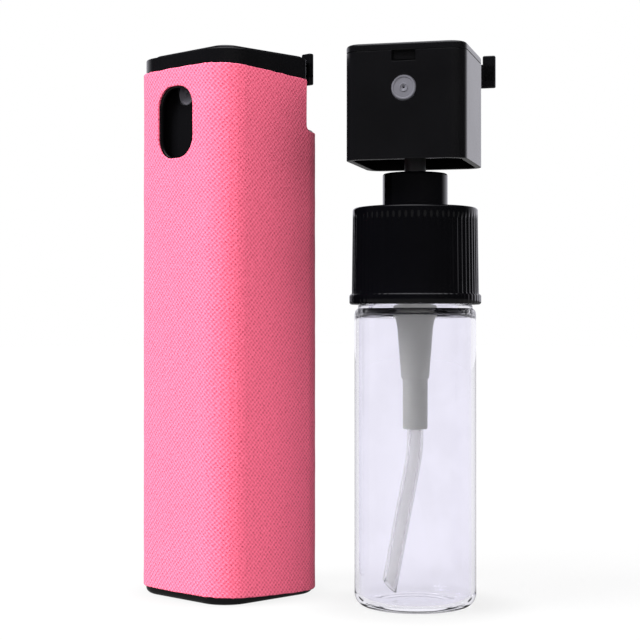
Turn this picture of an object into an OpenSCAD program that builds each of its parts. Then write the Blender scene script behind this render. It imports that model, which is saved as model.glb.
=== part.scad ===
// Pocket lens-cleaning spray.
// A square case covered in microfibre cloth holds a small pump-spray bottle (the insert).
// A second, identical insert stands beside the case as the spare refill.
// Frame: the origin is the centre of the case's underside, +Z is up, the spray leaves towards -Y.

/* [Case] */
// Width of the case shell across its flats
shell_w = 25.6; // [25.4:0.1:26.4]
// Wall thickness of the case shell
shell_wall = 0.7; // [0.5:0.05:0.8]
// Height of the case shell's rim above the table
rim_z = 100.2; // [99:0.1:101]
// Thickness of the microfibre cover
cloth_t = 0.45; // [0.3:0.05:0.6]
// Height of the cloth's upper edge above the table
cloth_top_z = 97.5; // [95:0.5:98.5]
// Thickness of the base plate that the insert stands on
base_t = 1.5; // [1.2:0.1:2]

/* [Bottle] */
// Outside diameter of the bottle
bottle_d = 21.8; // [21:0.1:22]
// Wall thickness of the bottle
bottle_wall = 0.8; // [0.6:0.05:1.2]
// Height of the bottle's shoulder
shoulder_z = 53.5; // [46:0.5:53.5]
// Height of the bottle's lip
lip_z = 67.5; // [67:0.1:68]

/* [Closure] */
// Diameter of the fluted closure at its top
closure_d = 22.5; // [22:0.1:23]
// Number of flutes round the closure
flutes = 64; // [36:2:72]
// Diameter of the smooth collar on the closure
collar_d = 11.7; // [11.5:0.1:12.5]

/* [Pump and head] */
// Travel of the head when it is pressed
stroke = 4.5; // [3:0.25:4.75]
// Width of the square head
head_w = 21.5; // [20.5:0.1:21.6]
// Diameter of the spray nozzle
nozzle_d = 4.45; // [3.5:0.05:5]
// Outside diameter of the dip tube
tube_d = 2.9; // [2.5:0.1:3]

/* [Layout] */
// Distance of the spare insert to the right of the case
spare_x = 34.5; // [32:0.1:60]
// Distance of the spare insert behind the case's middle
spare_y = 13.9; // [-20:0.1:20]
// Turn of the spare insert about its own axis
spare_turn = 30.6; // [0:0.1:360]

/* [Hidden] */

$fn = 64;
eps = 0.01;        // overlap that keeps cuts clean
fit = 0.08;        // radial clearance of a running fit
snug = 0.02;       // radial clearance between pieces that are assembled tight

// Case
shell_r = 5.75;                          // outer corner radius of the shell
shell_in = shell_w - 2 * shell_wall;     // clear width inside the shell
cloth_w = shell_w + 2 * cloth_t;         // width over the cloth
base_edge = 0.6;                         // step that eases the base plate's lower edge
base_ring_h = 3;                         // height of the base plate's locating ring
base_ring_t = 0.7;                       // wall of that ring
window_w = 9.3;                          // spray window, a slot with rounded ends
window_r = 3.7;
window_z = [81.1, 93.9];
notch_y = 7.8;                           // the notch opens the back right corner for the head's tab
notch_x = 6;
notch_z = 87;
notch_r = 1.2;
cloth_lip = 0.4;                         // shell left bare round the window and the notch

// Bottle: 20 mm neck finish, thread pitch 3.175 mm, right-handed, one and a half turns
base_corner = 2.3;
bottle_floor = 1.2;
neck_r = 9.05;
neck_bore_r = 7.8;
thread_r = 9.95;
pitch = 3.175;
thread_turns = 1.5;
thread_z = 57.5;                         // where the neck's ridge starts
shoulder_r = 1.2;
bead_h = 0.4;                            // bead that stands on the shoulder

// Closure
closure_z = 54;
closure_top = 71.3;
closure_taper = 0.35;
flange_r = 11.85;
flange_h = 1.9;
closure_bore_r = 10.3;
collar_top = 77.5;
collar_roof = 1.3;

// Pump, all heights above the bottle's underside
gasket_t = 0.9;
flange_z = lip_z + gasket_t + snug;      // underside of the housing's flange
flange_t = 1.2;
flange_top = flange_z + flange_t;
bore_r = 3.5;                            // bore that the piston runs in
bore_z = 56;
chamber_r = 2.3;                         // bore that holds the spring
chamber_z = 46;
ball_r = 1.5;
ball_chamber_r = 1.75;
seat_z = 41.8;                           // small end of the ball's conical seat
socket_z = 31.7;                         // lower end of the housing
socket_top = 39.5;
gland_r = 4.7;
gland_top = 75.9;
seal_t = 1;
stem_r = 1.925;
stem_bore_r = 0.8;
stem_z = 60.5;
stem_top = 87.6;
piston_h = 4.6;
spring_wire = 0.5;
spring_r = 1.8;
spring_turns = 8;
spring_steps = 20;                       // rings for each turn of the spring

// Head
head_z = 79.2;
head_split = 98.15;                      // parting line between the head and its lid
head_top = 99.7;
head_r = 3;
head_wall = 1.1;
nozzle_z = 91.6;
nozzle_len = 3.2;
post_r = 1.1;                            // post inside the nozzle
column_r = 3.2;
column_z = collar_top + stroke + 0.6;
rib_t = 1;
rib_z = 88;
latch_w = 4.2;
latch_h = 1.9;
tab_x = [head_w / 2 - head_wall, 13.3];
tab_y = [8.2, 9.3];
tab_z = 93.8;
tab_gap = 0.2;                           // gap between the tab and the lid

// Dip tube
tube_bore_r = 0.825;
tube_top = 39.3;
tube_bend_z = 30.7;                      // where the tube starts to lean
tube_bend_r = 30;
tube_bend = 11;
tube_tail = 22;
tube_slant = 35;                         // cut of the tube's lower end

// A square column with rounded corners, centred on the Z axis.
module square_column(w, r, z0, z1) {
    translate([0, 0, z0]) linear_extrude(z1 - z0) {
        square([w, w - 2 * r], center = true);
        square([w - 2 * r, w], center = true);
        for (sx = [-1, 1], sy = [-1, 1]) translate([sx, sy] * (w / 2 - r)) circle(r);
    }
}

// The same column as a tube.
module square_tube(w, r, wall, z0, z1) {
    difference() {
        square_column(w, r, z0, z1);
        square_column(w - 2 * wall, max(r - wall, 0.2), z0 - eps, z1 + eps);
    }
}

// A round tube or disc on the Z axis.
module ring(r_out, r_in, z0, z1) {
    translate([0, 0, z0]) difference() {
        cylinder(r = r_out, h = z1 - z0);
        translate([0, 0, -eps]) cylinder(r = r_in, h = z1 - z0 + 2 * eps);
    }
}

// Points of one arc, for outlines that are turned about the Z axis.
function arc(cx, cy, r, a0, a1, n = 6) =
    [for (i = [0 : n]) [cx + r * cos(a0 + (a1 - a0) * i / n), cy + r * sin(a0 + (a1 - a0) * i / n)]];

// A closed ring of points for each step along a helix, joined into one solid.
// profile lists the section's corners as [distance from the axis, height].
module helix(profile, lead, turns, steps) {
    n = len(profile);
    rings = round(turns * steps);
    points = [
        for (k = [0 : rings], p = profile)
            let (a = 360 * k / steps) [p[0] * cos(a), p[0] * sin(a), p[1] + lead * k / steps]
    ];
    sides = [
        for (k = [0 : rings - 1], j = [0 : n - 1])
            let (a = k * n + j, b = k * n + (j + 1) % n) each [[a, b + n, a + n], [a, b, b + n]]
    ];
    first = [for (j = [n - 1 : -1 : 0]) j];
    last = [for (j = [0 : n - 1]) rings * n + j];
    polyhedron(points, concat([first], sides, [last]), convexity = 10);
}

// A bent tube. rings lists [x, z, lean] down its centre line, and slant cuts its lower end at an angle.
module bent_tube(rings, r_out, r_in, sides, slant) {
    last = len(rings) - 1;
    points = [
        for (r = [r_out, r_in], k = [0 : last], j = [0 : sides - 1])
            let (
                c = rings[k],
                across = r * cos(360 * j / sides),
                along = k == last ? across * tan(slant) : 0
            )
            [
                c[0] + across * cos(c[2]) - along * sin(c[2]),
                r * sin(360 * j / sides),
                c[1] - across * sin(c[2]) - along * cos(c[2])
            ]
    ];
    inner = (last + 1) * sides;
    walls = [
        for (k = [0 : last - 1], j = [0 : sides - 1])
            let (a = k * sides + j, b = k * sides + (j + 1) % sides, c = b + sides, d = a + sides)
                each [
                    [a, b, c], [a, c, d],
                    [inner + a, inner + c, inner + b], [inner + a, inner + d, inner + c]
                ]
    ];
    ends = [
        for (j = [0 : sides - 1])
            let (a = j, b = (j + 1) % sides, c = last * sides + a, d = last * sides + b)
                each [[a, inner + a, inner + b, b], [c, d, inner + d, inner + c]]
    ];
    polyhedron(points, concat(walls, ends), convexity = 10);
}

// ---- Case ----

// The spray window, a slot through the front wall with its ends rounded.
module window_cut(grow) {
    half = window_w / 2 - window_r;
    z0 = window_z[0] - grow;
    z1 = window_z[1] + grow;
    r = window_r + grow;
    rotate([90, 0, 0]) translate([0, 0, shell_w / 2 - 3]) linear_extrude(6) {
        translate([-half - r, z0 + r]) square([2 * (half + r), z1 - z0 - 2 * r]);
        translate([-half, z0]) square([2 * half, z1 - z0]);
        for (sx = [-1, 1], z = [z0 + r, z1 - r]) translate([sx * half, z]) circle(r);
    }
}

// The notch that lets the head's tab slide down the back right corner.
module notch_cut(grow) {
    y0 = notch_y - grow / 2;
    z0 = notch_z - grow;
    translate([notch_x - grow, 0, 0]) rotate([90, 0, 90]) linear_extrude(cloth_w) {
        translate([y0 + notch_r, z0]) square([cloth_w, rim_z]);
        translate([y0, z0 + notch_r]) square([cloth_w, rim_z]);
        translate([y0 + notch_r, z0 + notch_r]) circle(notch_r);
    }
}

module case_shell() {
    color([0.03, 0.03, 0.035]) difference() {
        square_tube(shell_w, shell_r, shell_wall, base_t, rim_z);
        window_cut(0);
        notch_cut(0);
    }
}

module microfibre_cover() {
    color([0.93, 0.42, 0.52]) difference() {
        square_tube(cloth_w, shell_r + cloth_t, cloth_t, base_t, cloth_top_z);
        window_cut(cloth_lip / 2);
        notch_cut(cloth_lip);
    }
}

module base_plate() {
    ring_w = shell_in - 2 * snug;
    color([0.03, 0.03, 0.035]) {
        square_column(shell_w - 2 * base_edge, shell_r - base_edge, 0, base_edge);
        square_column(shell_w, shell_r, base_edge, base_t);
        square_tube(ring_w, shell_r - shell_wall, base_ring_t, base_t, base_t + base_ring_h);
    }
}

// ---- Insert, standing on z = 0 with its axis on Z ----

module bottle() {
    r = bottle_d / 2;
    ri = r - bottle_wall;
    bead_r = r - shoulder_r / 2;
    outline = concat(
        [[0, 0]],
        arc(r - base_corner, base_corner, base_corner, -90, 0),
        arc(r - shoulder_r, shoulder_z - shoulder_r, shoulder_r, 0, 60),
        [
            [bead_r, shoulder_z + bead_h], [neck_r, shoulder_z + bead_h],
            [neck_r, lip_z], [neck_bore_r, lip_z], [neck_bore_r, shoulder_z - 1]
        ],
        arc(ri - shoulder_r, shoulder_z - 1 - shoulder_r, shoulder_r, 90, 0),
        arc(ri - base_corner + 1, bottle_floor + base_corner - 1, base_corner - 1, 0, -90),
        [[0, bottle_floor]]
    );
    ridge = [[neck_r - 0.4, -0.84], [thread_r, -0.35], [thread_r, 0.35], [neck_r - 0.4, 0.84]];
    color([0.93, 0.93, 0.97, 0.35]) {
        rotate_extrude() polygon(outline);
        translate([0, 0, thread_z]) helix(ridge, pitch, thread_turns, 24);
    }
}

module closure() {
    r0 = closure_d / 2 + closure_taper / 2;
    r1 = closure_d / 2;
    body_z = closure_z + flange_h;
    roof_z = flange_top + fit;
    gland_bore = gland_r + fit;
    ridge_in = neck_r + 0.3;
    wall = closure_bore_r + 0.35;
    ridge = [[ridge_in, -0.35], [wall, -0.65], [wall, 0.65], [ridge_in, 0.35]];
    groove_r = 0.28;
    color([0.04, 0.04, 0.045]) {
        difference() {
            union() {
                translate([0, 0, closure_z]) cylinder(r = flange_r, h = flange_h);
                translate([0, 0, body_z]) cylinder(r1 = r0, r2 = r1, h = closure_top - body_z);
                translate([0, 0, closure_top - eps])
                    cylinder(r = collar_d / 2, h = collar_top - closure_top + eps);
            }
            translate([0, 0, closure_z - eps]) cylinder(r = closure_bore_r, h = roof_z - closure_z + eps);
            translate([0, 0, roof_z - eps])
                cylinder(r = gland_bore, h = collar_top - collar_roof - roof_z + eps);
            translate([0, 0, collar_top - collar_roof - eps])
                cylinder(r = stem_r + 0.5, h = collar_roof + 2 * eps);
            for (i = [0 : flutes - 1]) rotate(360 * i / flutes) {
                translate([r0 + 0.06, 0, body_z + 0.4]) cylinder(r = groove_r, h = 15.6, $fn = 16);
                translate([flange_r + 0.12, 0, closure_z - eps])
                    cylinder(r = groove_r, h = flange_h + 0.3, $fn = 16);
            }
        }
        translate([0, 0, thread_z + pitch / 2]) helix(ridge, pitch, thread_turns, 24);
    }
}

module neck_gasket() {
    color([0.85, 0.85, 0.83]) ring(8.9, 4.7, lip_z + snug / 2, flange_z);
}

module pump_housing() {
    outline = [
        [chamber_r, chamber_z], [chamber_r, 53], [bore_r, bore_z], [bore_r, flange_top],
        [9.2, flange_top], [9.2, flange_z], [4.5, flange_z], [4.5, bore_z],
        [3.75, 52.5], [3.25, 50], [2.5, 40.8], [2.25, 40.8], [2.25, socket_z],
        [tube_d / 2 + snug, socket_z], [tube_d / 2 + snug, socket_top], [0.8, socket_top],
        [0.8, seat_z], [ball_chamber_r, seat_z + 1], [ball_chamber_r, chamber_z]
    ];
    color([0.88, 0.88, 0.88, 0.7]) rotate_extrude() polygon(outline);
}

module stem_gland() {
    color([0.9, 0.9, 0.9]) {
        ring(bore_r - snug, stem_r + fit, flange_top - 2, flange_top + eps);
        ring(gland_r, stem_r + fit, flange_top, gland_top);
    }
}

module stem_seal() {
    top = flange_top - 2;
    color([0.2, 0.2, 0.2]) ring(bore_r - snug, stem_r + fit / 2, top - seal_t, top - snug);
}

module inlet_ball() {
    // The ball touches its 45 degree seat where the slope's normal passes through its centre.
    seat_r = ball_r * cos(45);
    centre_z = seat_z + (seat_r - 0.8) * (1 / (ball_chamber_r - 0.8)) + ball_r * sin(45) + 0.05;
    color([0.75, 0.77, 0.8]) translate([0, 0, centre_z]) sphere(ball_r);
}

module dip_tube() {
    bends = 8;
    lean_x = tube_bend_r * (1 - cos(tube_bend)) + tube_tail * sin(tube_bend);
    lean_z = tube_bend_z - tube_bend_r * sin(tube_bend) - tube_tail * cos(tube_bend);
    rings = [
        [0, tube_top, 0],
        for (i = [0 : bends])
            let (a = tube_bend * i / bends)
                [-tube_bend_r * (1 - cos(a)), tube_bend_z - tube_bend_r * sin(a), a],
        [-lean_x, lean_z, tube_bend]
    ];
    color([0.93, 0.93, 0.93, 0.6]) bent_tube(rings, tube_d / 2, tube_bore_r, 24, tube_slant);
}

module return_spring() {
    z0 = chamber_z + spring_wire / 2 + snug;
    z1 = stem_z - spring_wire / 2 - snug;
    wire = [for (i = [0 : 7]) [spring_r + spring_wire / 2 * cos(45 * i), spring_wire / 2 * sin(45 * i)]];
    color([0.7, 0.71, 0.73]) translate([0, 0, z0])
        helix(wire, (z1 - z0) / spring_turns, spring_turns, spring_steps);
}

module stem() {
    color([0.12, 0.12, 0.13]) ring(stem_r, stem_bore_r, stem_z, stem_top);
}

module piston() {
    r = bore_r - fit;
    ri = stem_r + snug;
    z1 = stem_z + piston_h;
    outline = [
        [ri, stem_z + 0.2], [2.8, stem_z + 0.2], [r, stem_z], [r, stem_z + 0.8], [2.9, stem_z + 1.6],
        [2.9, z1 - 1.4], [r, z1 - 0.6], [r, z1], [2.8, z1 - 0.2], [ri, z1 - 0.2]
    ];
    color([0.92, 0.92, 0.9]) rotate_extrude() polygon(outline);
}

module head_shell() {
    w_in = head_w - 2 * head_wall;
    front = -head_w / 2;
    post_y = front + 0.8;
    color([0.03, 0.03, 0.035]) {
        difference() {
            union() {
                square_tube(head_w, head_r, head_wall, head_z, head_split);
                // Column over the stem, and the ribs that carry the thumb's push down to it
                translate([0, 0, column_z]) cylinder(r = column_r, h = 95 - column_z);
                for (a = [0, 90, 180]) rotate(a)
                    translate([column_r - 0.5, -rib_t / 2, rib_z])
                        cube([w_in / 2 - column_r + 0.7, rib_t, 7]);
                // Boss that joins the column to the nozzle
                translate([0, front + head_wall / 2, nozzle_z]) rotate([-90, 0, 0])
                    cylinder(r = nozzle_d / 2 + 0.9, h = head_w / 2 - head_wall / 2);
            }
            translate([0, 0, column_z - eps])
                cylinder(r = stem_r + snug / 2, h = stem_top - column_z + 2 * eps);
            translate([0, 0, stem_top]) cylinder(r = stem_bore_r, h = nozzle_z - stem_top);
            translate([0, front - eps, nozzle_z]) rotate([-90, 0, 0]) difference() {
                cylinder(r = nozzle_d / 2 + snug, h = nozzle_len + 0.8);
                translate([0, 0, post_y - front]) cylinder(r = post_r, h = nozzle_len + 0.8);
            }
            translate([0, front + nozzle_len, nozzle_z + 1.6]) rotate([-90, 0, 0]) cylinder(r = 0.5, h = 7.3);
            translate([0, 0, nozzle_z - eps]) cylinder(r = stem_bore_r, h = 1.8);
            // Latch windows, front and back
            translate([-latch_w / 2, -head_w, head_split - latch_h])
                cube([latch_w, 2 * head_w, latch_h + eps]);
        }
        translate([tab_x[0], tab_y[0], tab_z])
            cube([tab_x[1] - tab_x[0], tab_y[1] - tab_y[0], head_split - tab_z]);
        translate([head_w / 2 + tab_gap, tab_y[0], head_split - eps])
            cube([tab_x[1] - head_w / 2 - tab_gap, tab_y[1] - tab_y[0], head_top - head_split + eps]);
    }
}

module head_lid() {
    spigot = head_w - 2 * head_wall - 2 * snug;
    nib = [latch_w - 0.3, spigot + head_wall / 2, latch_h - 0.5];
    color([0.03, 0.03, 0.035]) {
        square_column(head_w, head_r, head_split, head_top);
        square_tube(spigot, head_r - head_wall, 0.9, head_split - 2.4, head_split + eps);
        difference() {
            translate([-nib[0] / 2, -nib[1] / 2, head_split - nib[2] - 0.2]) cube([nib[0], nib[1], nib[2]]);
            square_column(spigot - 1, 0.5, head_split - 4, head_split + 1);
        }
    }
}

module nozzle() {
    front = -head_w / 2;
    color([0.62, 0.62, 0.65]) translate([0, front + 0.1, nozzle_z]) rotate([-90, 0, 0]) difference() {
        cylinder(r = nozzle_d / 2, h = nozzle_len);
        translate([0, 0, 0.7]) cylinder(r = post_r + snug, h = nozzle_len);
        translate([0, 0, -eps]) cylinder(r = 0.2, h = 1);
    }
}

// ---- Places of the two inserts ----

module fitted() { translate([0, 0, base_t]) children(); }
module spare() { translate([spare_x, spare_y, 0]) rotate(spare_turn) children(); }

case_shell();
microfibre_cover();
base_plate();
fitted() bottle();
fitted() closure();
fitted() neck_gasket();
fitted() pump_housing();
fitted() stem_gland();
fitted() stem_seal();
fitted() inlet_ball();
fitted() dip_tube();
fitted() return_spring();
fitted() stem();
fitted() piston();
fitted() head_shell();
fitted() head_lid();
fitted() nozzle();
spare() bottle();  // spare_bottle
spare() closure();  // spare_closure
spare() neck_gasket();  // spare_neck_gasket
spare() pump_housing();  // spare_pump_housing
spare() stem_gland();  // spare_stem_gland
spare() stem_seal();  // spare_stem_seal
spare() inlet_ball();  // spare_inlet_ball
spare() dip_tube();  // spare_dip_tube
spare() return_spring();  // spare_return_spring
spare() stem();  // spare_stem
spare() piston();  // spare_piston
spare() head_shell();  // spare_head_shell
spare() head_lid();  // spare_head_lid
spare() nozzle();  // spare_nozzle
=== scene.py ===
"""Pocket lens-cleaning spray: a microfibre-covered case with its spray insert, and a spare insert beside it.

Lengths are in millimetres, unless a comment says otherwise, and become metres in the meshes. The insert's
pieces are made in its own frame, standing on z = 0 with its axis on Z and its nozzle towards -Y. The same
functions make both inserts and put each in its place.
"""
import math

import bmesh
import bpy
from mathutils import Matrix, Vector, noise
from mathutils.geometry import tessellate_polygon


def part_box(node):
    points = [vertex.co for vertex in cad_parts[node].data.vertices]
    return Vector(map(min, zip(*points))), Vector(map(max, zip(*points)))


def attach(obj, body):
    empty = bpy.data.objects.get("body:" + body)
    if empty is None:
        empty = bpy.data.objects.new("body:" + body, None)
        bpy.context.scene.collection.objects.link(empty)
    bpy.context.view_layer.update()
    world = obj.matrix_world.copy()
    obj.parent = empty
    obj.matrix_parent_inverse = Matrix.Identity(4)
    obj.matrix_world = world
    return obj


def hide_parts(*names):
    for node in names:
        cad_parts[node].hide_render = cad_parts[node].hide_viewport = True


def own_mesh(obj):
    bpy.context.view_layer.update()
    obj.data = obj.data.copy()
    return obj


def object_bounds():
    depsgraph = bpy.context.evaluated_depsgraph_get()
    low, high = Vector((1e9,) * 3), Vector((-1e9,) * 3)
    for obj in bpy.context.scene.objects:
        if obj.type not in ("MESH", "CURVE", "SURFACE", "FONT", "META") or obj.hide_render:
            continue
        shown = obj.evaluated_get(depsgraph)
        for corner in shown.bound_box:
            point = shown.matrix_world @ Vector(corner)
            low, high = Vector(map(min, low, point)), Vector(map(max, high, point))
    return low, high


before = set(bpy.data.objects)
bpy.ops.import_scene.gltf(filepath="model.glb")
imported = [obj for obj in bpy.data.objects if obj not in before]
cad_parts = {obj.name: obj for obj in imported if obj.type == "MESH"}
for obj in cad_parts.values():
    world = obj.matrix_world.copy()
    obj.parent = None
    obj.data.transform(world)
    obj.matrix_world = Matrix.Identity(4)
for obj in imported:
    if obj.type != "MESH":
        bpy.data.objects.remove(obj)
cad_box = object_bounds()
MM = 0.001


def size_of(node):
    """Lowest and highest corners of a CAD node, in millimetres."""
    low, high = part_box(node)
    return Vector(low) / MM, Vector(high) / MM


# ---- Driving dimensions, read from model.glb's parts where they hold them ----

shell_low, shell_high = size_of("case_shell")
cloth_low, cloth_high = size_of("microfibre_cover")
bottle_low, bottle_high = size_of("bottle")
head_low, _ = size_of("head_shell")
lid_low, lid_high = size_of("head_lid")

BASE_Z = bottle_low.z
SHELL_W = shell_high.x - shell_low.x
SHELL_R = 5.75
SHELL_WALL = 0.7
CLOTH_T = 0.45
CLOTH_W = SHELL_W + 2 * CLOTH_T
TWILL = 0.00077  # metres from rib to rib, along either edge of the cloth
HEAD_W = lid_high.x - lid_low.x
CROWN = 0.3  # how far the middle of each cloth face stands out
CLOTH_DROP = (1.2, 0.7)  # how far the cloth's upper and lower edges hang down by the notch
NOTCH_Y, NOTCH_X, NOTCH_Z = 7.8, 6.0, 87.0  # notch: side on the right face, side on the back, floor
WINDOW = (81.1, 93.9, 9.3, 3.7)  # lower and upper edge, width, corner radius

# Insert, heights above the bottle's underside
BOTTLE_R = (bottle_high.x - bottle_low.x) / 2
LIP_Z = bottle_high.z - bottle_low.z
SHOULDER_Z, SHOULDER_R, BEAD_H = 53.5, 1.2, 0.4
NECK_R, NECK_BORE_R, THREAD_R = 9.05, 7.8, 9.95
PITCH, THREAD_TURNS, THREAD_Z = 3.175, 1.5, 57.5
CLOSURE_Z, CLOSURE_TOP, COLLAR_TOP = 54.0, 71.3, 77.5
THREAD_CREST, THREAD_RUN_OUT = 0.3, 0.06  # half the ridge's flat top; the run-out at each end, in turns
GASKET_T, FLANGE_T = 0.92, 1.2
FLUTES = 64
HEAD_Z = head_low.z - BASE_Z
HEAD_SPLIT = 98.15
HEAD_R, HEAD_WALL = 3.0, 1.1
HEAD_TOP = lid_high.z - BASE_Z
NOZZLE_Z, NOZZLE_R = 91.6, 2.225
HEAD_PRESS = 4.5  # the head's travel

SPARE_TURN = 30.6  # degrees

# Light, in degrees: azimuth round from the front, and elevation
DARK_END = 46
FILL_FROM = (62, 15)
KEY_FROM = (-25, 45)


# ---- Mesh helpers ----

def arc(cx, cy, r, start, end, steps=8):
    """Points of an arc, angles in degrees."""
    angles = [math.radians(start + (end - start) * i / steps) for i in range(steps + 1)]
    return [(cx + r * math.cos(a), cy + r * math.sin(a)) for a in angles]


def add_object(name, bm, material, smooth_angle=35, place=None):
    """Turns a bmesh in millimetres into a shaded object in metres."""
    bmesh.ops.recalc_face_normals(bm, faces=bm.faces)
    mesh = bpy.data.meshes.new(name)
    bm.to_mesh(mesh)
    bm.free()
    mesh.transform(Matrix.Scale(MM, 4))
    if place is not None:
        mesh.transform(place)
    mesh.shade_smooth()
    mesh.set_sharp_from_angle(angle=math.radians(smooth_angle))
    mesh.materials.append(material)
    piece = bpy.data.objects.new(name, mesh)
    bpy.context.scene.collection.objects.link(piece)
    return piece


def even_normals(piece):
    """Lets large flat faces set the shading beside their rounded edges."""
    modifier = piece.modifiers.new("even_normals", "WEIGHTED_NORMAL")
    modifier.keep_sharp = True
    modifier.weight = 80


def lathe(bm, outline, steps=96, closed=True, radius=None):
    """Turns an outline of (r, z) points about Z. radius(i, r, z, angle) may change a point's radius."""
    rings = []
    for i, (r, z) in enumerate(outline):
        if r < 1e-6:
            rings.append([bm.verts.new((0, 0, z))])
            continue
        ring = []
        for k in range(steps):
            angle = 2 * math.pi * k / steps
            rr = radius(i, r, z, angle) if radius else r
            ring.append(bm.verts.new((rr * math.cos(angle), rr * math.sin(angle), z)))
        rings.append(ring)
    pairs = list(zip(rings, rings[1:]))
    if closed:
        pairs.append((rings[-1], rings[0]))
    for low, high in pairs:
        for k in range(steps):
            n = (k + 1) % steps
            if len(low) == 1 and len(high) == 1:
                break
            if len(low) == 1:
                bm.faces.new((low[0], high[n], high[k]))
            elif len(high) == 1:
                bm.faces.new((low[k], low[n], high[0]))
            else:
                bm.faces.new((low[k], low[n], high[n], high[k]))


def rounded_ring(w, r):
    """Outline of a square of width w with corner radius r, anticlockwise from above."""
    h = w / 2 - r
    points = []
    for cx, cy, start in ((h, -h, -90), (h, h, 0), (-h, h, 90), (-h, -h, 180)):
        points += arc(cx, cy, r, start, start + 90)
    return points


def loft_square(bm, levels):
    """Joins rounded squares given as (width, corner radius, z), with a flat face at both ends."""
    rings = [[bm.verts.new((x, y, z)) for x, y in rounded_ring(w, r)] for w, r, z in levels]
    count = len(rings[0])
    for low, high in zip(rings, rings[1:]):
        for k in range(count):
            n = (k + 1) % count
            bm.faces.new((low[k], low[n], high[n], high[k]))
    bm.faces.new(rings[0][::-1])
    bm.faces.new(rings[-1])


def block(bm, low, high, edge, segments=3):
    """A box with rounded edges."""
    made = bmesh.ops.create_cube(bm, size=1)["verts"]
    centre = (Vector(low) + Vector(high)) / 2
    size = Vector(high) - Vector(low)
    for v in made:
        v.co = centre + Vector((v.co.x * size.x, v.co.y * size.y, v.co.z * size.z))
    edges = list({e for v in made for e in v.link_edges})
    bmesh.ops.bevel(bm, geom=edges, offset=edge, segments=segments, profile=0.5, affect="EDGES")


def merge(bm, part, transform):
    """Moves another bmesh into place, adds it to bm and frees it."""
    part.transform(transform)
    mesh = bpy.data.meshes.new("part")
    part.to_mesh(mesh)
    part.free()
    bm.from_mesh(mesh)
    bpy.data.meshes.remove(mesh)


class SquareWrap:
    """Wraps a flat pattern round a square column. s runs anticlockwise from a seam at the right end of the
    back face: the back, then the left, front and right faces, each after its corner, then the last corner."""

    def __init__(self, w, r):
        self.w, self.r = w, r
        self.flat = w - 2 * r
        self.quarter = math.pi * r / 2
        self.length = 4 * (self.flat + self.quarter)

    def s_front(self, x):
        return 2 * (self.flat + self.quarter) + self.flat / 2 + x

    def s_right(self, y):
        return self.s_front(self.flat / 2) + self.quarter + self.flat / 2 + y

    def s_back(self, x):
        return self.flat / 2 - x

    def point(self, s, depth):
        """Place of a point at s, depth outside the column's face, and the face's normal there."""
        s = s - self.flat
        h = self.flat / 2
        corners = ((-h, h), (-h, -h), (h, -h), (h, h))
        directions = (90, 180, 270, 0)
        if s < 0:
            return Vector((-h - s, self.w / 2 + depth)), Vector((0, 1))
        for (cx, cy), start in zip(corners, directions):
            centre = Vector((cx, cy))
            if s <= self.quarter:
                a = math.radians(start) + s / self.r
                normal = Vector((math.cos(a), math.sin(a)))
                return centre + normal * (self.r + depth), normal
            s -= self.quarter
            a = math.radians(start + 90)
            normal = Vector((math.cos(a), math.sin(a)))
            along = Vector((-normal.y, normal.x))
            if s <= self.flat:
                return centre + normal * (self.r + depth) + along * s, normal
            s -= self.flat
        raise ValueError("s is past the end of the pattern")

    def bends(self, cuts):
        """Places of the cut lines that let the pattern bend round its corners."""
        lines = []
        start = self.flat
        for _ in range(4):
            lines += [start + self.quarter * i / cuts for i in range(cuts + 1)]
            start += self.quarter + self.flat
        return lines


def inset(loop, distance, seams):
    """Moves a loop's sides inwards (to their left). Sides that lie on a seam line stay."""
    moved = []
    count = len(loop)

    def side(p, q):
        d = Vector(q) - Vector(p)
        d.normalize()
        on_seam = any(abs(p[0] - x) < 1e-6 and abs(q[0] - x) < 1e-6 for x in seams)
        return Vector((-d.y, d.x)), 0.0 if on_seam else distance

    for i, p in enumerate(loop):
        n1, d1 = side(loop[i - 1], p)
        n2, d2 = side(p, loop[(i + 1) % count])
        det = n1.x * n2.y - n1.y * n2.x
        if abs(det) < 0.05:
            step = (n1 * d1 + n2 * d2) / 2
        else:
            step = Vector(((d1 * n2.y - d2 * n1.y) / det, (d2 * n1.x - d1 * n2.x) / det))
        moved.append((p[0] + step.x, p[1] + step.y))
    return moved


def plate(bm, loops, thickness, edge, seams=()):
    """A flat plate in (s, z) with rounded edges. Its outer face is at depth 0, its inner one at -thickness.
    loops[0] is the outline, anticlockwise, and the others are holes, clockwise. Seams stay open."""
    steps = 4
    turn = [math.pi / 2 * i / steps for i in range(steps + 1)]
    rings = [(edge * (1 - math.sin(a)), -edge * (1 - math.cos(a))) for a in turn]
    rings += [(edge * (1 - math.sin(a)), -thickness + edge * (1 - math.cos(a))) for a in reversed(turn)]
    ends = {0: [], len(rings) - 1: []}
    for loop in loops:
        made = []
        for index, (shift, depth) in enumerate(rings):
            flat = inset(loop, shift, seams)
            made.append([bm.verts.new((s, depth, z)) for s, z in flat])
            if index in ends:
                ends[index].append((flat, made[-1]))
        for low, high in zip(made, made[1:]):
            for k in range(len(loop)):
                n = (k + 1) % len(loop)
                if any(abs(loop[k][0] - x) < 1e-6 and abs(loop[n][0] - x) < 1e-6 for x in seams):
                    continue
                bm.faces.new((low[k], high[k], high[n], low[n]))
    for flats in ends.values():
        verts = [v for _, ring in flats for v in ring]
        triangles = tessellate_polygon([[Vector((s, z, 0)) for s, z in flat] for flat, _ in flats])
        for a, b, c in triangles:
            bm.faces.new((verts[a], verts[b], verts[c]))


def cut_lines(bm, axis, places):
    """Cuts every face along planes across one axis."""
    normal = Vector((0, 0, 0))
    normal[axis] = 1
    for place in sorted(set(round(x, 5) for x in places)):
        point = normal * place
        geometry = bm.verts[:] + bm.edges[:] + bm.faces[:]
        bmesh.ops.bisect_plane(bm, geom=geometry, dist=1e-5, plane_co=point, plane_no=normal)


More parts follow.
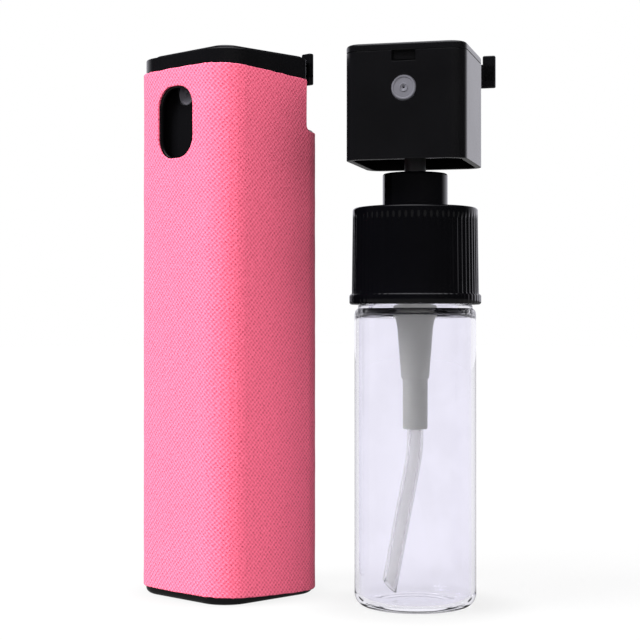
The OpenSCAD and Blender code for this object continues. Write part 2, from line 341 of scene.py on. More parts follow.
def wrap(bm, path, lift=None, uv_name=None):
    """Bends a flat plate round the column. lift(point, depth) says how far a point moves outwards. uv_name
    names a UV map that holds the flat pattern, in metres."""
    layer = bm.loops.layers.uv.new(uv_name) if uv_name else None
    if layer:
        for face in bm.faces:
            for loop in face.loops:
                loop[layer].uv = (loop.vert.co.x * MM, loop.vert.co.z * MM)
    for v in bm.verts:
        s, depth, z = v.co
        place, normal = path.point(s, depth)
        v.co = (place.x, place.y, z)
        if lift:
            v.co += normal.to_3d() * lift(v.co, depth)


# ---- Materials ----

def new_material(name):
    """A material, its nodes and links, and its shader."""
    material = bpy.data.materials.new(name)
    material.use_nodes = True
    tree = material.node_tree
    return material, tree.nodes, tree.links, tree.nodes["Principled BSDF"]


def maths(nodes, links, operation, *values):
    """A maths node. Each value is a number or another node's output."""
    node = nodes.new("ShaderNodeMath")
    node.operation = operation
    for socket, value in zip(node.inputs, values):
        if isinstance(value, (int, float)):
            socket.default_value = value
        else:
            links.new(value, socket)
    return node.outputs[0]


def remap(nodes, links, value, low, high, to_low=0.0, to_high=1.0, smooth=True):
    """Maps the range from low to high onto the one from to_low to to_high."""
    node = nodes.new("ShaderNodeMapRange")
    node.interpolation_type = "SMOOTHSTEP" if smooth else "LINEAR"
    node.inputs["From Min"].default_value = low
    node.inputs["From Max"].default_value = high
    node.inputs["To Min"].default_value = to_low
    node.inputs["To Max"].default_value = to_high
    links.new(value, node.inputs["Value"])
    return node.outputs["Result"]


def noise_pattern(nodes, links, coords, scale, detail=2.0, rough=0.5):
    node = nodes.new("ShaderNodeTexNoise")
    node.inputs["Scale"].default_value = scale
    node.inputs["Detail"].default_value = detail
    node.inputs["Roughness"].default_value = rough
    links.new(coords, node.inputs["Vector"])
    return node.outputs["Fac"]


def object_coords(nodes):
    return nodes.new("ShaderNodeTexCoord").outputs["Object"]


def add_bump(nodes, links, shader, height, distance, strength):
    bump = nodes.new("ShaderNodeBump")
    bump.inputs["Strength"].default_value = strength
    bump.inputs["Distance"].default_value = distance
    links.new(height, bump.inputs["Height"])
    links.new(bump.outputs["Normal"], shader.inputs["Normal"])


def ramp(nodes, links, factor, weave_shade_stops):
    """Colours between stops given as (place, colour)."""
    node = nodes.new("ShaderNodeValToRGB")
    elements = node.color_ramp.elements
    while len(elements) < len(weave_shade_stops):
        elements.new(0.5)
    for element, (place, colour) in zip(elements, weave_shade_stops):
        element.position = place
        element.color = (*colour, 1)
    links.new(factor, node.inputs["Fac"])
    return node.outputs["Color"]


def moulded(name, colour, roughness, rough_spread=0.06, grain=0.00002, coat=0.0):
    """Moulded plastic, faintly uneven in gloss, colour and surface. grain is the relief in metres."""
    material, nodes, links, shader = new_material(name)
    coords = object_coords(nodes)
    fine = noise_pattern(nodes, links, coords, 900, 4)
    broad = noise_pattern(nodes, links, coords, 90, 3)
    least, most = max(0.0, roughness - rough_spread), roughness + rough_spread
    links.new(remap(nodes, links, broad, 0, 1, least, most, smooth=False), shader.inputs["Roughness"])
    dark = tuple(c * 0.85 for c in colour)
    light = tuple(min(1.0, c * 1.15) for c in colour)
    tint = ramp(nodes, links, broad, [(0.35, dark), (0.65, light)])
    links.new(tint, shader.inputs["Base Color"])
    shader.inputs["Coat Weight"].default_value = coat
    shader.inputs["Coat Roughness"].default_value = 0.05
    add_bump(nodes, links, shader, fine, grain, 0.4)
    return material


def clear_plastic(name, colour, roughness, transmission, ior):
    """Clear or milky plastic with faint flow marks."""
    material, nodes, links, shader = new_material(name)
    flow = noise_pattern(nodes, links, object_coords(nodes), 120, 3)
    deeper = tuple(c * 0.97 for c in colour)
    tint = ramp(nodes, links, flow, [(0.4, deeper), (0.6, colour)])
    links.new(tint, shader.inputs["Base Color"])
    shader.inputs["Roughness"].default_value = roughness
    shader.inputs["Transmission Weight"].default_value = transmission
    shader.inputs["IOR"].default_value = ior
    add_bump(nodes, links, shader, flow, 0.00003, 0.3)
    return material


def microfibre(name):
    """Pink microfibre in a fine twill: diagonal ribs broken into floats, a short nap and a soft sheen, with
    painted shade in the weave's hollows.
    """
    material, nodes, links, shader = new_material(name)
    uv = nodes.new("ShaderNodeUVMap")
    uv.uv_map = "cloth"

    def work(operation, *values):
        return maths(nodes, links, operation, *values)

    def half_wave(phase):
        return work("MULTIPLY", work("ADD", work("SINE", phase), 1), 0.5)

    split = nodes.new("ShaderNodeSeparateXYZ")
    links.new(uv.outputs["UV"], split.inputs["Vector"])
    unevenness = noise_pattern(nodes, links, uv.outputs["UV"], 1100, 3)
    wander = work("MULTIPLY", work("SUBTRACT", unevenness, 0.5), 4.2)
    across = work("MULTIPLY", split.outputs["X"], 2 * math.pi / TWILL)
    along = work("MULTIPLY", split.outputs["Y"], 2 * math.pi / TWILL)
    rib = half_wave(work("ADD", work("ADD", across, along), wander))
    floats = half_wave(work("ADD", work("MULTIPLY", work("SUBTRACT", across, along), 0.8), wander))
    weave = work("ADD", work("MULTIPLY", rib, 0.5), work("MULTIPLY", floats, 0.5))
    nap = noise_pattern(nodes, links, uv.outputs["UV"], 2600, 4, 0.7)
    height = work("ADD", work("MULTIPLY", weave, 0.5), nap)
    # Colour follows the weave's height, dark in its hollows and light on its ridges: painted shade in the
    # hollows and painted light on the crests, mixed with random tone from the nap's noise
    weave_shade_stops = [(0.40, (0.42, 0.04, 0.085)), (0.62, (0.80, 0.118, 0.205)), (0.95, (0.97, 0.185, 0.30))]
    links.new(ramp(nodes, links, height, weave_shade_stops), shader.inputs["Base Color"])
    shader.inputs["Roughness"].default_value = 0.95
    shader.inputs["Sheen Weight"].default_value = 0.12
    shader.inputs["Sheen Roughness"].default_value = 0.5
    shader.inputs["Sheen Tint"].default_value = (1.0, 0.75, 0.82, 1)
    shader.inputs["Specular IOR Level"].default_value = 0.15
    add_bump(nodes, links, shader, height, 0.00015, 0.8)
    return material


def bright_steel(name, colour):
    """Bright steel with a fine unevenness of colour."""
    material, nodes, links, shader = new_material(name)
    fine = noise_pattern(nodes, links, object_coords(nodes), 2500)
    dark = tuple(c * 0.8 for c in colour)
    links.new(ramp(nodes, links, fine, [(0.3, dark), (0.7, colour)]), shader.inputs["Base Color"])
    shader.inputs["Metallic"].default_value = 1
    shader.inputs["Roughness"].default_value = 0.28
    return material


BLACK = moulded("black_gloss", (0.0025, 0.0025, 0.003), 0.2, 0.03)
CAP_BLACK = moulded("cap_black", (0.001, 0.001, 0.0015), 0.1, 0.02)
STEM_BLACK = moulded("stem_grey", (0.05, 0.05, 0.055), 0.4)
NOZZLE_GREY = moulded("nozzle_grey", (0.12, 0.12, 0.14), 0.35, coat=0.4)
RUBBER = moulded("seal_rubber", (0.02, 0.02, 0.02), 0.6)
LINER = moulded("liner_foam", (0.75, 0.75, 0.72), 0.8, grain=0.00006)
NATURAL = clear_plastic("natural_pp", (0.72, 0.73, 0.65), 0.35, 0.4, 1.4)
CLEAR = clear_plastic("clear_pet", (0.93, 0.92, 0.985), 0.01, 1.0, 1.3)
TUBE = clear_plastic("clear_pe", (1.0, 1.0, 0.97), 0.12, 0.8, 1.4)
PINK = microfibre("pink_microfibre")
STEEL = bright_steel("stainless", (0.75, 0.75, 0.77))


# ---- Case ----

def window_hole(cx, grow=0.0):
    """The spray window's outline, clockwise, as a hole. grow widens it all round."""
    z0, z1, w, r = WINDOW
    x0, x1 = cx - w / 2 - grow, cx + w / 2 + grow
    z0, z1, r = z0 - grow, z1 + grow, r + grow
    points = arc(x1 - r, z1 - r, r, 90, 0) + arc(x1 - r, z0 + r, r, 0, -90)
    points += arc(x0 + r, z0 + r, r, 270, 180) + arc(x0 + r, z1 - r, r, 180, 90)
    return points


def case_pattern(path, z0, z1, notch_grow):
    """Flat outline of the case wall, with the notch at both of its ends."""
    right = path.s_right(NOTCH_Y - notch_grow / 2)
    left = path.s_back(NOTCH_X - notch_grow)
    floor = NOTCH_Z - notch_grow
    right_r, left_r, top_r = 1.2, 0.96, 0.5
    outline = [(0, z0), (path.length, z0), (path.length, floor)]
    outline += arc(right + right_r, floor + right_r, right_r, 270, 180)
    outline += arc(right - top_r, z1 - top_r, top_r, 0, 90, 5)
    outline += arc(left + top_r, z1 - top_r, top_r, 90, 180, 5)
    outline += arc(left - left_r, floor + left_r, left_r, 0, -90)
    outline += [(0, floor)]
    return outline


def make_case_shell():
    """The case's black wall, seen at its rim and in its window and notch."""
    path = SquareWrap(SHELL_W, SHELL_R)
    bm = bmesh.new()
    loops = [case_pattern(path, shell_low.z, shell_high.z, 0.0), window_hole(path.s_front(0))]
    plate(bm, loops, SHELL_WALL, 0.22, seams=(0, path.length))
    cut_lines(bm, 0, path.bends(12))
    wrap(bm, path)
    bmesh.ops.remove_doubles(bm, verts=bm.verts, dist=1e-5)
    piece = add_object("case_wall", bm, BLACK)
    even_normals(piece)
    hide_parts("case_shell")
    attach(piece, "case_body")


def make_cover():
    """The cloth sleeve, cut as a flat pattern and wrapped round the wall."""
    path = SquareWrap(CLOTH_W, SHELL_R + CLOTH_T)
    bm = bmesh.new()
    loops = [case_pattern(path, cloth_low.z, cloth_high.z, 0.4), window_hole(path.s_front(0), 0.2)]
    plate(bm, loops, CLOTH_T, 0.2)
    s_step, z_step = 1.5, 2.0
    s_lines = [i * s_step for i in range(int(path.length / s_step) + 1)]
    z_lines = [cloth_low.z + i * z_step for i in range(1, int((cloth_high.z - cloth_low.z) / z_step))]
    cut_lines(bm, 0, path.bends(12) + s_lines)
    cut_lines(bm, 2, z_lines)

    # The cut edges hang lower towards the notch, and waver a little
    start, end = path.s_front(path.flat / 2), path.s_right(NOTCH_Y)
    foot_h = 8  # the lower edge's drop fades out over this height
    for v in bm.verts:
        share = min(1.0, max(0.0, (v.co.x - start) / (end - start)))
        share = share * share * (3 - 2 * share)
        top = max(0.0, (v.co.z - NOTCH_Z) / (cloth_high.z - NOTCH_Z))
        foot = max(0.0, 1 - (v.co.z - cloth_low.z) / foot_h)
        waver = noise.noise(Vector((v.co.x * 1.3, 0, v.co.z * 0.1))) * 0.12
        v.co.z -= (CLOTH_DROP[0] * share + waver) * top ** 2 + (CLOTH_DROP[1] * share + waver) * foot ** 2

    half = path.flat / 2

    def lift(point, depth):
        across = min(abs(point.x), abs(point.y)) / half
        crown = CROWN * max(0.0, 1 - across ** 2)
        soft = noise.noise(point * 0.22) * 0.05 + noise.noise(point * 0.9) * 0.02
        return crown + soft if depth > -CLOTH_T * 0.9 else crown * 0.5

    wrap(bm, path, lift, "cloth")
    piece = add_object("microfibre_sleeve", bm, PINK, 60)
    even_normals(piece)
    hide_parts("microfibre_cover")
    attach(piece, "case_body")


def make_base():
    """The bottom plate: a foot with a round edge, and a ring that stands up inside the wall."""
    r, edge, ring_top, ring_t, joint = SHELL_R, 1.15, 4.5, 0.7, 0.04
    steps = 6
    levels = []
    for i in range(steps + 1):
        a = math.pi / 2 * i / steps
        cut = edge * (1 - math.sin(a))
        levels.append((SHELL_W - 2 * cut, r - cut, edge * (1 - math.cos(a))))
    levels += [(SHELL_W, r, BASE_Z - joint)]
    inner = SHELL_W - 2 * SHELL_WALL - joint
    ri = r - SHELL_WALL
    for cut, z in ((0, BASE_Z), (0, ring_top - 0.2), (0.15, ring_top), (ring_t - 0.1, ring_top),
                   (ring_t, ring_top - 0.1), (ring_t, BASE_Z)):
        levels.append((inner - 2 * cut, ri - cut, z))
    bm = bmesh.new()
    loft_square(bm, levels)
    piece = add_object("base_foot", bm, BLACK)
    even_normals(piece)
    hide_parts("base_plate")
    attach(piece, "case_body")


# ---- Insert ----

def thread(z, angle, start, half_root):
    """How far the ridge stands up at a height and angle, from 0 to 1, with its ends run out. start is the
    height where it begins, and half_root half its width at the foot."""
    best = 0.0
    for turn in range(-1, 3):
        t = angle / (2 * math.pi) + turn
        if t < 0 or t > THREAD_TURNS:
            continue
        off = abs(z - start - PITCH * t)
        rise = min(1.0, max(0.0, (half_root - off) / (half_root - THREAD_CREST)))
        ends = min(1.0, t / THREAD_RUN_OUT, (THREAD_TURNS - t) / THREAD_RUN_OUT)
        best = max(best, rise * ends)
    return best


def make_bottle(prefix, place):
    """The clear bottle, one wall from the punt in its foot up to the lip and back down inside."""
    r, wall, corner, shoulder, floor = BOTTLE_R, 0.8, 2.3, SHOULDER_R, 1.2
    lip_r, bead_edge = 0.35, 0.25
    ri = r - wall
    outer = [(0, 0.5), (5.5, 0.35), (7.0, 0.05), (7.6, 0.0)]
    outer += arc(r - corner, corner, corner, -80, 0, 8)
    outer += arc(r - shoulder, SHOULDER_Z - shoulder, shoulder, 0, 60, 8)
    bead_r, bead_z = r - shoulder / 2, SHOULDER_Z + BEAD_H
    outer += arc(bead_r - bead_edge, bead_z - bead_edge, bead_edge, 0, 90, 4)
    outer += [(NECK_R + 0.2, bead_z), (NECK_R, bead_z + 0.2)]
    first = len(outer)
    rows, low, high = 52, 56.4, LIP_Z - 3.5
    outer += [(NECK_R, low + (high - low) * i / rows) for i in range(rows + 1)]
    last = len(outer)
    outer += arc(NECK_R - lip_r, LIP_Z - lip_r, lip_r, 0, 90, 4)
    outer += arc(NECK_BORE_R + lip_r, LIP_Z - lip_r, lip_r, 90, 180, 4)
    inner = [(NECK_BORE_R, SHOULDER_Z - 0.6)]
    inner += arc(ri - shoulder, SHOULDER_Z - 1 - shoulder, shoulder, 90, 0, 8)
    inner += arc(ri - 1.5, floor + 1.5, 1.5, 0, -90, 8)
    inner += [(5.0, floor + 0.1), (0, floor + 0.25)]

    def radius(i, rr, z, angle):
        if first <= i < last:
            return rr + (THREAD_R - NECK_R) * thread(z, angle, THREAD_Z, 0.75)
        return rr

    bm = bmesh.new()
    lathe(bm, outer + inner, 160, False, radius)
    piece = add_object(prefix + "clear_bottle", bm, CLEAR, 50, place)
    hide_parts(prefix + "bottle")
    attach(piece, prefix + "bottle_body")


def make_closure(prefix, place):
    """The screw closure. Each point of its outline is (r, z, share of the flutes' depth there)."""
    top_r, low_r, flange_r, flange_h, collar_r = 11.25, 11.42, 11.85, 1.9, 5.85
    bore, ceiling, depth, ridge = 10.3, 69.75, 0.14, 0.95
    body = CLOSURE_Z + flange_h

    def level(share, points):
        return [(r, z, share) for r, z in points]

    outline = [(flange_r - 0.7, CLOSURE_Z, 0)]
    outline += level(0.4, arc(flange_r - 0.5, CLOSURE_Z + 0.5, 0.5, -75, 0, 5))
    outline += level(0.4, arc(flange_r - 0.45, body - 0.45, 0.45, 0, 70, 5))
    outline += [(low_r + 0.06, body - 0.02, 0.5)]
    rows, rise = 6, CLOSURE_TOP - 2.6 - body
    for i in range(rows + 1):
        outline.append((low_r + (top_r - low_r) * i / rows, body + 0.2 + rise * i / rows, 1))
    outline += [(top_r, CLOSURE_TOP - down, share) for down, share in ((2.0, 0.8), (1.5, 0.4), (1.1, 0.1))]
    outline += level(0, arc(top_r - 0.5, CLOSURE_TOP - 0.5, 0.5, 0, 90, 6))
    outline += level(0, arc(collar_r + 0.3, CLOSURE_TOP + 0.3, 0.3, 270, 180, 4))
    outline += level(0, arc(collar_r - 0.4, COLLAR_TOP - 0.4, 0.4, 0, 90, 5))
    # Down the hole for the stem, over the pump's gland, and down the threaded bore
    outline += level(0, [(2.75, COLLAR_TOP), (2.45, COLLAR_TOP - 0.3), (2.45, COLLAR_TOP - 1.3),
                         (4.78, COLLAR_TOP - 1.3), (4.78, ceiling), (bore, ceiling)])
    first = len(outline)
    inner_rows, high, low = 56, 66.0, 57.0
    outline += [(bore, high - (high - low) * i / inner_rows, 0) for i in range(inner_rows + 1)]
    last = len(outline)
    outline += [(bore, CLOSURE_Z + 0.3, 0), (bore + 0.3, CLOSURE_Z, 0)]

    def radius(i, r, z, angle):
        if first <= i < last:
            return r - ridge * thread(z, angle, THREAD_Z + PITCH / 2, 0.65)
        share = outline[i][2]
        wave = 0.5 + 0.5 * math.cos(FLUTES * angle)
        return r - depth * share * (1 - wave) ** 1.6

    bm = bmesh.new()
    lathe(bm, [(r, z) for r, z, _ in outline], FLUTES * 8, True, radius)
    piece = add_object(prefix + "screw_cap", bm, CAP_BLACK, 40, place)
    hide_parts(prefix + "closure")
    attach(piece, prefix + "closure_body")


def make_housing(prefix, place):
    """The milky pump barrel: up its bore, over the flange, down its outside and up the tube's socket."""
    top, flange_r = LIP_Z + GASKET_T + FLANGE_T, 9.2
    outline = [(2.3, 46.0), (2.3, 53.0), (3.5, 56.0), (3.5, top)]
    outline += [(flange_r - 0.2, top), (flange_r, top - 0.2)]
    outline += [(flange_r, top - FLANGE_T + 0.2), (flange_r - 0.2, top - FLANGE_T)]
    outline += [(4.7, top - FLANGE_T), (4.5, top - FLANGE_T - 0.3), (4.5, 56.2), (4.35, 55.6), (3.8, 53.0)]
    outline += [(3.72, 52.5), (3.3, 50.4), (3.22, 50.0), (2.5, 41.0), (2.42, 40.8), (2.3, 40.75)]
    outline += [(2.25, 40.5), (2.22, 32.0), (2.1, 31.7), (1.6, 31.7), (1.47, 31.9), (1.47, 39.5)]
    outline += [(0.8, 39.5), (0.8, 41.8), (1.75, 42.8), (1.75, 46.0)]
    bm = bmesh.new()
    lathe(bm, outline, 96)
    piece = add_object(prefix + "pump_barrel", bm, NATURAL, 30, place)
    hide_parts(prefix + "pump_housing")
    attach(piece, prefix + "pump_body")


def make_dip_tube(prefix, place):
    """A tube that hangs straight, then leans in an arc, with its lower end cut at an angle."""
    top, bend_z, bend_r, tail = 39.3, 30.7, 30.0, 22.0
    bend, slant = math.radians(11), math.radians(35)
    outer_r, bore_r, sides, bends = 1.45, 0.825, 40, 24
    rings = [(0, top, 0), (0, (top + bend_z) / 2, 0)]
    for i in range(bends + 1):
        a = bend * i / bends
        rings.append((-bend_r * (1 - math.cos(a)), bend_z - bend_r * math.sin(a), a))
    x, z, a = rings[-1]
    for t in (tail * 0.5, tail):
        rings.append((x - t * math.sin(a), z - t * math.cos(a), a))
    bm = bmesh.new()
    layers = []
    for r in (outer_r, bore_r):
        layer = []
        for index, (cx, cz, lean) in enumerate(rings):
            cut = math.tan(slant) if index == len(rings) - 1 else 0
            ring = []
            for k in range(sides):
                t = 2 * math.pi * k / sides
                across = r * math.cos(t)
                along = across * cut
                ring.append(bm.verts.new((
                    cx + across * math.cos(lean) - along * math.sin(lean),
                    r * math.sin(t),
                    cz - across * math.sin(lean) - along * math.cos(lean),
                )))
            layer.append(ring)
        layers.append(layer)
    for layer in layers:
        for low, high in zip(layer, layer[1:]):
            for k in range(sides):
                n = (k + 1) % sides
                bm.faces.new((low[k], low[n], high[n], high[k]))
    for outside, inside in ((layers[0][end], layers[1][end]) for end in (0, -1)):
        for k in range(sides):
            n = (k + 1) % sides
            bm.faces.new((outside[k], outside[n], inside[n], inside[k]))
    piece = add_object(prefix + "suction_tube", bm, TUBE, 40, place)
    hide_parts(prefix + "dip_tube")
    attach(piece, prefix + "pump_body")


def make_stem(prefix, place):
    """The hollow stem between the pump and the head."""
    r, bore, low, top = 1.925, 0.8, 60.5, 87.6
    outline = [(bore, low), (r - 0.2, low), (r, low + 0.2)]
    outline += [(r, low + 2 + 0.5 * i) for i in range(30)]
    outline += [(r, top - 0.2), (r - 0.2, top), (bore, top)]
    bm = bmesh.new()
    lathe(bm, outline, 64)
    piece = add_object(prefix + "pump_stem", bm, STEM_BLACK, 40, place)
    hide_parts(prefix + "stem")
    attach(piece, prefix + "head_body")


def make_head(prefix, place):
    """The spray head: its four walls, the core inside them and the thumb tab."""
    path = SquareWrap(HEAD_W, HEAD_R)
    top = HEAD_SPLIT - 0.04
    latch_w, latch_h = 4.2, 1.9
    back, front = path.s_back(0), path.s_front(0)
    outline = [(0, HEAD_Z), (path.length, HEAD_Z), (path.length, top)]
    for centre in (front, back):
        outline += [(centre + latch_w / 2, top), (centre + latch_w / 2, top - latch_h)]
        outline += [(centre - latch_w / 2, top - latch_h), (centre - latch_w / 2, top)]
    outline += [(0, top)]
    nozzle_hole = [(front + x, z) for x, z in arc(0, NOZZLE_Z, NOZZLE_R + 0.05, 360, 0, 48)[:-1]]
    bm = bmesh.new()
    plate(bm, [outline, nozzle_hole], HEAD_WALL, 0.1, seams=(0, path.length))
    cut_lines(bm, 0, path.bends(10))
    wrap(bm, path)
    bmesh.ops.remove_doubles(bm, verts=bm.verts, dist=1e-5)
    walls = add_object(prefix + "head_walls", bm, BLACK, 40, place)
    even_normals(walls)
    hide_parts(prefix + "head_shell")

    # Column over the stem, ribs, and the boss that carries the nozzle
    bm = bmesh.new()
    low, high, fit_r, column_r = COLLAR_TOP + HEAD_PRESS + 0.6, 95.0, 1.935, 3.2
    lathe(bm, [(fit_r, low), (column_r - 0.3, low), (column_r, low + 0.3), (column_r, high - 0.2),
               (column_r - 0.2, high), (1.5, high), (1.5, high - 1), (fit_r, high - 1)], 64)
    reach = HEAD_W / 2 - HEAD_WALL + 0.1
    for turn in (0, 90, 180):
        rib = bmesh.new()
        block(rib, (2.6, -0.5, 88.0), (reach, 0.5, high), 0.12)
        merge(bm, rib, Matrix.Rotation(math.radians(turn), 4, "Z"))
    boss = bmesh.new()
    boss_r, bore = 3.1, NOZZLE_R + 0.02
    boss_outline = [(bore, reach), (boss_r - 0.05, reach), (boss_r, reach - 0.2), (boss_r, 2.6), (bore, 2.6)]
    lathe(boss, boss_outline, 48)
    merge(bm, boss, Matrix.Translation((0, 0, NOZZLE_Z)) @ Matrix.Rotation(math.radians(90), 4, "X"))
    core = add_object(prefix + "head_core", bm, BLACK, 35, place)

    tab_y, tab_z, tab_end, tab_edge = (8.2, 9.3), 93.8, 13.3, 0.3
    bm = bmesh.new()
    block(bm, (HEAD_W / 2 - 0.9, tab_y[0], tab_z), (tab_end, tab_y[1], HEAD_SPLIT - 0.02), tab_edge, 4)
    block(bm, (HEAD_W / 2 + 0.2, tab_y[0], tab_z + 1), (tab_end, tab_y[1], HEAD_TOP), tab_edge, 4)
    tab = add_object(prefix + "head_tab", bm, BLACK, 40, place)
    even_normals(tab)
    tab.visible_glossy = False  # the head's gloss doesn't mirror it
    for piece in (walls, core, tab):
        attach(piece, prefix + "head_body")


def make_lid(prefix, place):
    """The head's lid: a skirt inside the walls, a round edge and a slightly crowned top."""
    edge, crown, skirt_h = 0.55, 0.22, 2.4
    skirt, skirt_r = HEAD_W - 2 * HEAD_WALL - 0.04, HEAD_R - HEAD_WALL
    levels = [
        (skirt - 1.8, skirt_r - 0.9, HEAD_SPLIT - skirt_h),
        (skirt - 0.2, skirt_r - 0.1, HEAD_SPLIT - skirt_h),
        (skirt, skirt_r, HEAD_SPLIT - skirt_h + 0.2),
        (skirt, skirt_r, HEAD_SPLIT),
        (HEAD_W - 0.2, HEAD_R - 0.1, HEAD_SPLIT),
        (HEAD_W, HEAD_R, HEAD_SPLIT + 0.1),
    ]
    edge_steps, crown_steps = 6, 10
    for i in range(edge_steps + 1):
        a = math.pi / 2 * i / edge_steps
        cut = edge * (1 - math.cos(a))
        levels.append((HEAD_W - 2 * cut, HEAD_R - cut, HEAD_TOP - crown - edge * (1 - math.sin(a))))
    for i in range(1, crown_steps):
        share = 1 - i / crown_steps
        levels.append(((HEAD_W - 2 * edge) * share, (HEAD_R - edge) * share, HEAD_TOP - crown * share ** 2))
    bm = bmesh.new()
    loft_square(bm, levels)
    # Nibs that click into the latch windows
    for side in (-1, 1):
        y0, y1 = sorted((side * (HEAD_W / 2 - 1.3), side * (HEAD_W / 2 - 0.88)))
        block(bm, (-1.95, y0, HEAD_SPLIT - 1.6), (1.95, y1, HEAD_SPLIT - 0.1), 0.12)
    piece = add_object(prefix + "head_cover", bm, BLACK, 35, place)
    even_normals(piece)
    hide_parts(prefix + "head_lid")
    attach(piece, prefix + "head_body")


def make_nozzle(prefix, place):
    """The grey spray insert, from its orifice over its stepped face and back along its barrel."""
    orifice, bore = 0.16, 1.12
    # Radius, and distance behind the front
    outline = [(orifice, 0.55), (orifice, 0.3), (0.42, 0.12), (0.55, 0.12), (0.62, 0.04), (0.72, 0.04)]
    outline += [(0.8, 0.12), (1.75, 0.1), (1.85, 0), (2.05, 0), (NOZZLE_R, 0.15), (NOZZLE_R, 3.2)]
    outline += [(bore, 3.2), (bore, 0.7), (orifice, 0.7)]
    front = HEAD_W / 2 - 0.1
    bm = bmesh.new()
    lathe(bm, [(r, front - behind) for r, behind in outline], 64)
    bm.transform(Matrix.Translation((0, 0, NOZZLE_Z)) @ Matrix.Rotation(math.radians(90), 4, "X"))
    piece = add_object(prefix + "spray_nozzle", bm, NOZZLE_GREY, 30, place)
    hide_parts(prefix + "nozzle")
    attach(piece, prefix + "head_body")


def make_spring(prefix):
    """The return spring, copied from its CAD shape. The real one shortens towards its foot as the head is
    pressed.
    """
    node = prefix + "return_spring"
    piece = bpy.data.objects.new(prefix + "coil_spring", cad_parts[node].data.copy())
    bpy.context.scene.collection.objects.link(piece)
    piece.data.materials.clear()
    piece.data.materials.append(STEEL)
    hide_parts(node)
    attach(piece, prefix + "pump_body")
    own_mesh(piece)


# Pieces of the pump that keep their CAD shape
INNER = {
    "neck_gasket": LINER,
    "stem_gland": NATURAL,
    "stem_seal": RUBBER,
    "inlet_ball": STEEL,
    "piston": NATURAL,
}


def make_insert(prefix, place):
    make_bottle(prefix, place)
    make_closure(prefix, place)
    make_housing(prefix, place)
    make_dip_tube(prefix, place)
    make_stem(prefix, place)
    make_head(prefix, place)
    make_lid(prefix, place)
    make_nozzle(prefix, place)
    make_spring(prefix)
    for node, material in INNER.items():
        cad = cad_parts[prefix + node]
        cad.data.materials.clear()
        cad.data.materials.append(material)


def spare_place():
    """The spare insert's place, from the middle of its bottle, and its turn."""
    low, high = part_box("spare_bottle")
    middle = (Vector(low) + Vector(high)) / 2
    turn = Matrix.Rotation(math.radians(SPARE_TURN), 4, "Z")
    return Matrix.Translation((middle.x, middle.y, low[2])) @ turn


make_case_shell()
make_cover()
make_base()
make_insert("", Matrix.Translation((0, 0, BASE_Z * MM)))
make_insert("spare_", spare_place())


# ---- Floor, light and camera ----

def seen_directly(nodes, links):
    """1 for rays that come from the camera or have passed through clear plastic, and 0 for the others. Also
    returns the light path that tells them apart."""
    path = nodes.new("ShaderNodeLightPath")
    through = maths(nodes, links, "GREATER_THAN", path.outputs["Transmission Depth"], 0.5)
    return maths(nodes, links, "MAXIMUM", path.outputs["Is Camera Ray"], through), path


def make_floor(feet):
    """A white table. Its own glow carries most of its brightness, so shadows on it stay faint, and a painted
    contact shadow dims its glow round each foot, given in metres as (place, radius of the foot, radius where
    the painted shadow ends)."""
    bm = bmesh.new()
    bmesh.ops.create_grid(bm, x_segments=1, y_segments=1, size=3.0)
    mesh = bpy.data.meshes.new("floor")
    bm.to_mesh(mesh)
    bm.free()
    material, nodes, links, shader = new_material("floor_white")
    shader.inputs["Base Color"].default_value = (0.035, 0.035, 0.035, 1)
    shader.inputs["Roughness"].default_value = 0.6
    shader.inputs["Specular IOR Level"].default_value = 0.0
    glow = nodes.new("ShaderNodeEmission")
    seen, _ = seen_directly(nodes, links)
    shade = remap(nodes, links, seen, 0, 1, 0.12, 0.93, smooth=False)
    place = nodes.new("ShaderNodeNewGeometry")
    for centre, near, far in feet:
        reach = nodes.new("ShaderNodeVectorMath")
        reach.operation = "DISTANCE"
        reach.inputs[1].default_value = centre
        links.new(place.outputs["Position"], reach.inputs[0])
        # Painted contact shadow: within the foot's radius the glow falls to 0.9 of itself, and it returns to
        # full by the outer radius
        painted_foot_shadow = remap(nodes, links, reach.outputs["Value"], near, far, 0.9)
        shade = maths(nodes, links, "MULTIPLY", shade, painted_foot_shadow)
    links.new(shade, glow.inputs["Strength"])
    both = nodes.new("ShaderNodeAddShader")
    links.new(shader.outputs[0], both.inputs[0])
    links.new(glow.outputs[0], both.inputs[1])
    links.new(both.outputs[0], nodes["Material Output"].inputs["Surface"])
    mesh.materials.append(material)
    floor = bpy.data.objects.new("floor", mesh)
    floor.location = (0, 0, min(cad_box[0][2], 0))
    bpy.context.scene.collection.objects.link(floor)


def direction_from(azimuth, elevation):
    """Unit vector towards a point at this azimuth (0 in front, 90 on the right) and elevation."""
    a, e = math.radians(azimuth), math.radians(elevation)
    return Vector((math.sin(a) * math.cos(e), -math.cos(a) * math.cos(e), math.sin(e)))


def make_key(azimuth, elevation, strength, spread):
    """A broad, distant soft light."""
    light = bpy.data.lights.new("key", "SUN")
    light.energy = strength
    light.angle = math.radians(spread)
    lamp = bpy.data.objects.new("key", light)
    direction = direction_from(azimuth, elevation)
    lamp.location = direction
    lamp.rotation_euler = direction.to_track_quat("Z", "Y").to_euler()
    lamp.visible_glossy = False
    bpy.context.scene.collection.objects.link(lamp)


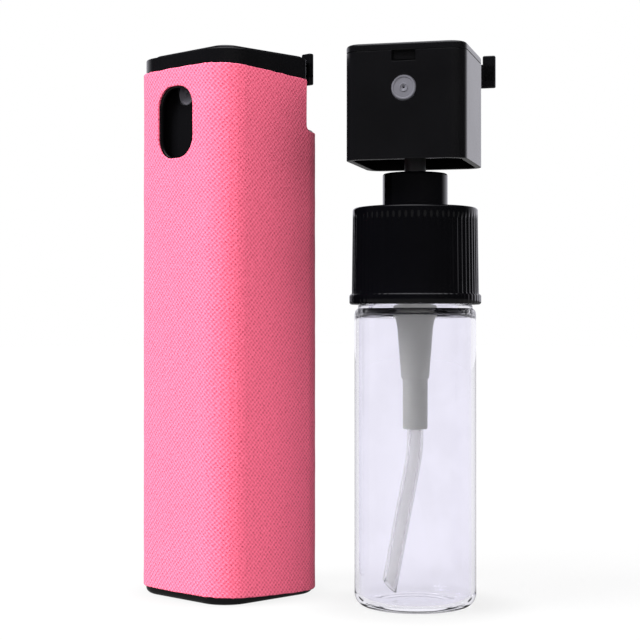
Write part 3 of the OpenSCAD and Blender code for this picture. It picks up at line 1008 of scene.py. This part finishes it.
def make_world():
    """A white studio with its dark end in front. What is seen directly or through clear plastic, what is
    seen in reflections and what falls on matt surfaces are three different lights."""
    world = bpy.data.worlds.new("studio")
    bpy.context.scene.world = world
    world.use_nodes = True
    nodes, links = world.node_tree.nodes, world.node_tree.links
    nodes.clear()
    output = nodes.new("ShaderNodeOutputWorld")
    coords = nodes.new("ShaderNodeTexCoord").outputs["Generated"]

    def background(colour, strength):
        node = nodes.new("ShaderNodeBackground")
        node.inputs["Color"].default_value = (*colour, 1)
        node.inputs["Strength"].default_value = strength
        return node

    def blend(factor, first, second):
        node = nodes.new("ShaderNodeMixShader")
        links.new(factor, node.inputs["Fac"])
        links.new(first.outputs[0], node.inputs[1])
        links.new(second.outputs[0], node.inputs[2])
        return node

    def facing(azimuth, elevation):
        node = nodes.new("ShaderNodeVectorMath")
        node.operation = "DOT_PRODUCT"
        node.inputs[1].default_value = direction_from(azimuth, elevation)
        links.new(coords, node.inputs[0])
        return node.outputs["Value"]

    split = nodes.new("ShaderNodeSeparateXYZ")
    links.new(coords, split.inputs["Vector"])
    height = split.outputs["Z"]
    to_dark_end = facing(DARK_END, 0)

    # Seen in reflections: white behind at low heights, and a patch overhead
    away = remap(nodes, links, to_dark_end, -0.2, -0.8)
    low = remap(nodes, links, height, 0.55, 0.2)
    white_part = maths(nodes, links, "MULTIPLY", away, low)
    around = blend(white_part, background((0.9, 0.9, 1.0), 0.03), background((0.93, 0.92, 1.0), 1.0))
    overhead = remap(nodes, links, height, 0.75, 1.0)
    mirrored = blend(overhead, around, background((0.95, 0.95, 1.0), 2.5))

    # Falling on matt surfaces: a soft fill from one side
    lit = remap(nodes, links, facing(*FILL_FROM), 0.0, 1.0)
    fill = blend(lit, background((0.96, 0.97, 1.0), 0.05), background((1.0, 0.97, 0.97), 2.5))

    # Seen directly: white behind, and a dim lavender grey in front
    behind = remap(nodes, links, to_dark_end, 0.1, -0.1, smooth=False)
    backdrop = blend(behind, background((0.8, 0.8, 1.0), 0.25), background((1, 1, 1), 1.0))

    seen, path = seen_directly(nodes, links)
    indirect = blend(path.outputs["Is Glossy Ray"], fill, mirrored)
    links.new(blend(seen, indirect, backdrop).outputs[0], output.inputs["Surface"])


def make_camera():
    """The view across the case's front right corner, level with the middle of the object."""
    camera = bpy.data.cameras.new("camera")
    camera.lens = 89.1
    camera.sensor_width = 36
    camera.clip_start = 0.01
    rig = bpy.data.objects.new("camera", camera)
    rig.location = (0.2240, -0.1996, 0.050)
    rig.rotation_euler = (math.radians(90 + 0.25), 0, math.radians(45.03))
    bpy.context.scene.collection.objects.link(rig)
    bpy.context.scene.camera = rig


# The case doesn't show through clear plastic, and its cloth doesn't show in gloss
for name in ("case_wall", "microfibre_sleeve", "base_foot"):
    bpy.data.objects[name].visible_transmission = False
bpy.data.objects["microfibre_sleeve"].visible_glossy = False

spare_at = spare_place().to_translation()
# Painted contact shadows round the case's foot and the spare's foot
make_floor([((0, 0, 0), 0.010, 0.022), ((spare_at.x, spare_at.y, 0), 0.010, 0.024)])
make_world()
make_key(*KEY_FROM, strength=7.4, spread=30)
make_camera()
scene = bpy.context.scene
scene.view_settings.view_transform = "Standard"
scene.cycles.max_bounces = 24
scene.cycles.glossy_bounces = 16
scene.cycles.transmission_bounces = 24
scene.cycles.transparent_max_bounces = 16
